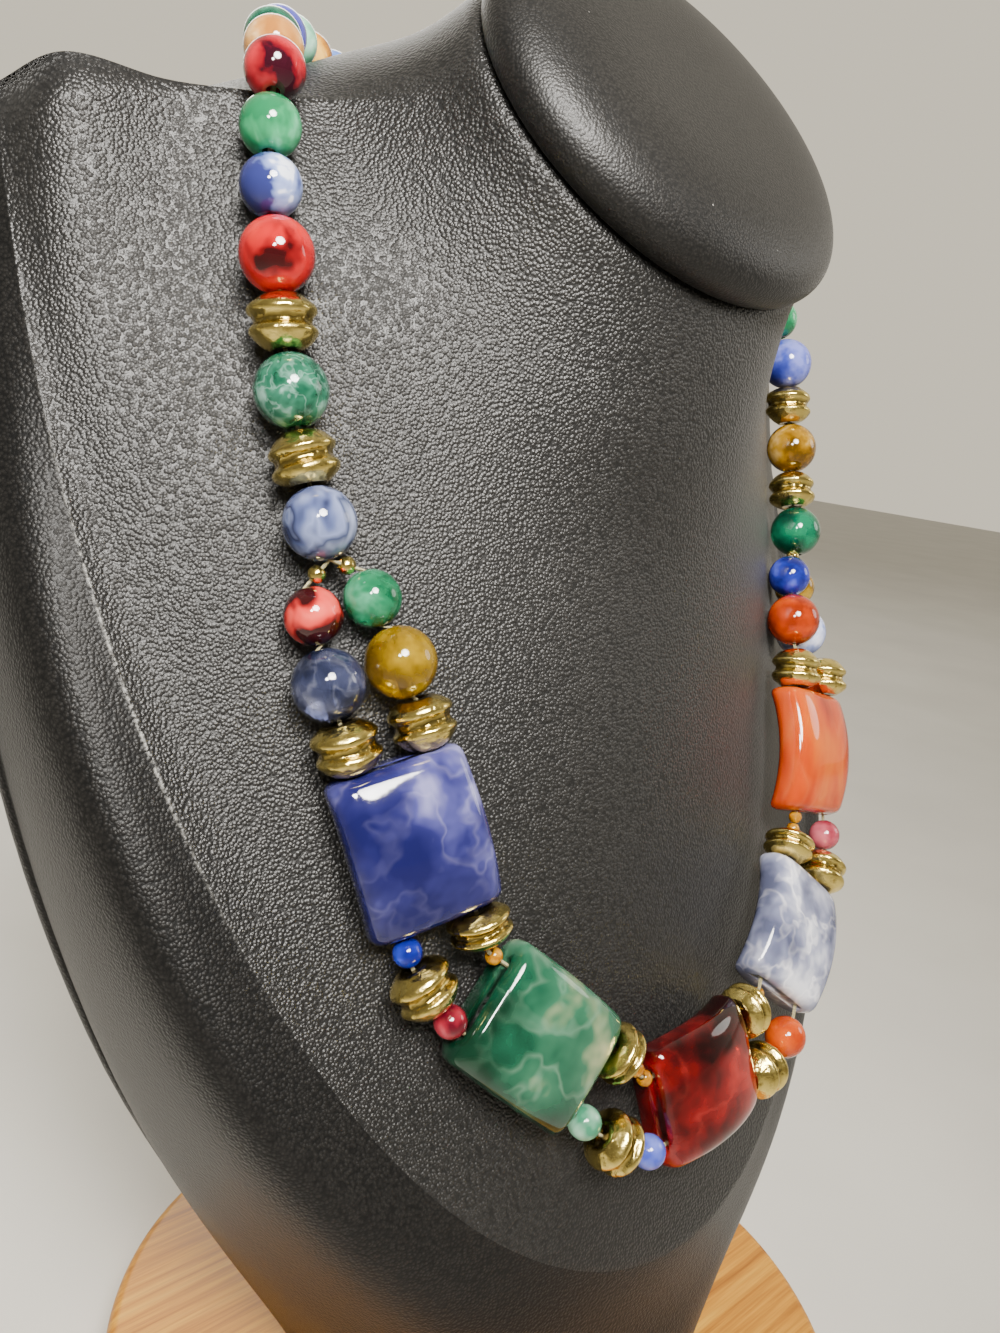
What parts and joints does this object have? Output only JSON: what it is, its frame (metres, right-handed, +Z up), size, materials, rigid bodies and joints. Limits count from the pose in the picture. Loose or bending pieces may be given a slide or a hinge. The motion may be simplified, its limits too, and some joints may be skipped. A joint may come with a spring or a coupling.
{
  "type": "beaded necklace on neck bust",
  "caption": "Colourful beaded necklace, single at the neck and doubled over curved tiles in front, on a leather neck bust with a round wooden base.",
  "frame": {"origin": "middle of the wooden base's underside", "axes": "+Z up, +X to the viewer's right, -Y the way the chest and the tiles face"},
  "size_m": [0.183, 0.143, 0.2641],
  "materials": {
    "leather": "black pebbled leatherette, soft sheen",
    "wood": "light straight-grained wood, clear satin varnish",
    "antique_gold": "shiny antique gold, irregular rings",
    "thread": "thin beading thread",
    "royal_blue_tile": "glossy, royal blue with lavender marbling",
    "green_tile": "glossy, green with cream marbling",
    "red_tile": "glossy, translucent red with a dark middle",
    "sky_blue_tile": "glossy, pale blue and white marbling",
    "orange_tile": "glossy, translucent orange with swirls",
    "blue_bead": "glossy blue",
    "red_bead": "glossy dark red",
    "amber_bead": "glossy translucent amber",
    "pale_green_bead": "glossy pale green",
    "periwinkle_bead": "glossy periwinkle",
    "orange_bead": "glossy orange",
    "pink_bead": "glossy pink-red",
    "slate_bead": "glossy translucent slate blue",
    "honey_bead": "glossy translucent yellow amber",
    "coral_bead": "glossy coral red with a dark swirl",
    "green_bead": "glossy green with pale swirls",
    "pale_blue_bead": "glossy banded pale blue",
    "bright_red_bead": "glossy red with a dark swirl",
    "emerald_bead": "glossy translucent emerald",
    "navy_bead": "glossy royal blue",
    "neck_beads_left": "glossy round beads in mixed colours",
    "neck_beads_right": "glossy round beads in mixed colours"
  },
  "bodies": {
    "root": {"wood_base": "wood", "bust_body": "leather", "neck_cap": "leather", "thread": "thread", "clasp": "antique_gold", "tile_royal_blue_left": "royal_blue_tile", "tile_green_left": "green_tile", "tile_red_centre": "red_tile", "tile_sky_blue_right": "sky_blue_tile", "tile_orange_right": "orange_tile", "bead_gap1_blue": "blue_bead", "bead_gap1_red": "red_bead", "seed_gap1_amber": "amber_bead", "bead_gap2_pale_green": "pale_green_bead", "bead_gap2_periwinkle": "periwinkle_bead", "seed_gap2_amber_a": "amber_bead", "seed_gap2_amber_b": "amber_bead", "bead_gap3_orange": "orange_bead", "seed_gap3_amber": "amber_bead", "bead_gap4_pink": "pink_bead", "seed_gap4_amber_a": "amber_bead", "seed_gap4_amber_b": "amber_bead", "bead_ten_left_outer": "slate_bead", "bead_ten_left_inner": "honey_bead", "bead_ten_right_outer": "pale_blue_bead", "bead_ten_right_inner": "orange_bead", "bead_eight_left_outer": "coral_bead", "bead_eight_left_inner": "green_bead", "bead_eight_right_outer": "amber_bead", "bead_eight_right_inner": "navy_bead", "bead_ten_left_blue": "pale_blue_bead", "bead_ten_left_green": "green_bead", "bead_ten_left_red": "bright_red_bead", "bead_ten_right_emerald": "emerald_bead", "bead_ten_right_amber": "amber_bead", "bead_ten_right_periwinkle": "periwinkle_bead", "neck_string_left": "neck_beads_left", "neck_string_right": "neck_beads_right", "spacer_gap1_outer": "antique_gold", "spacer_gap1_inner": "antique_gold", "spacer_gap2_outer": "antique_gold", "spacer_gap2_inner": "antique_gold", "spacer_gap3_outer": "antique_gold", "spacer_gap3_inner": "antique_gold", "spacer_gap4_outer": "antique_gold", "spacer_gap4_inner": "antique_gold", "spacer_left_pair_outer": "antique_gold", "split_bead_left_outer": "antique_gold", "spacer_left_pair_inner": "antique_gold", "split_bead_left_inner": "antique_gold", "spacer_left_single_1": "antique_gold", "spacer_left_single_2": "antique_gold", "spacer_right_pair_outer": "antique_gold", "split_bead_right_outer": "antique_gold", "spacer_right_pair_inner": "antique_gold", "split_bead_right_inner": "antique_gold", "spacer_right_single_1": "antique_gold", "spacer_right_single_2": "antique_gold"}
  },
  "joints": []
}
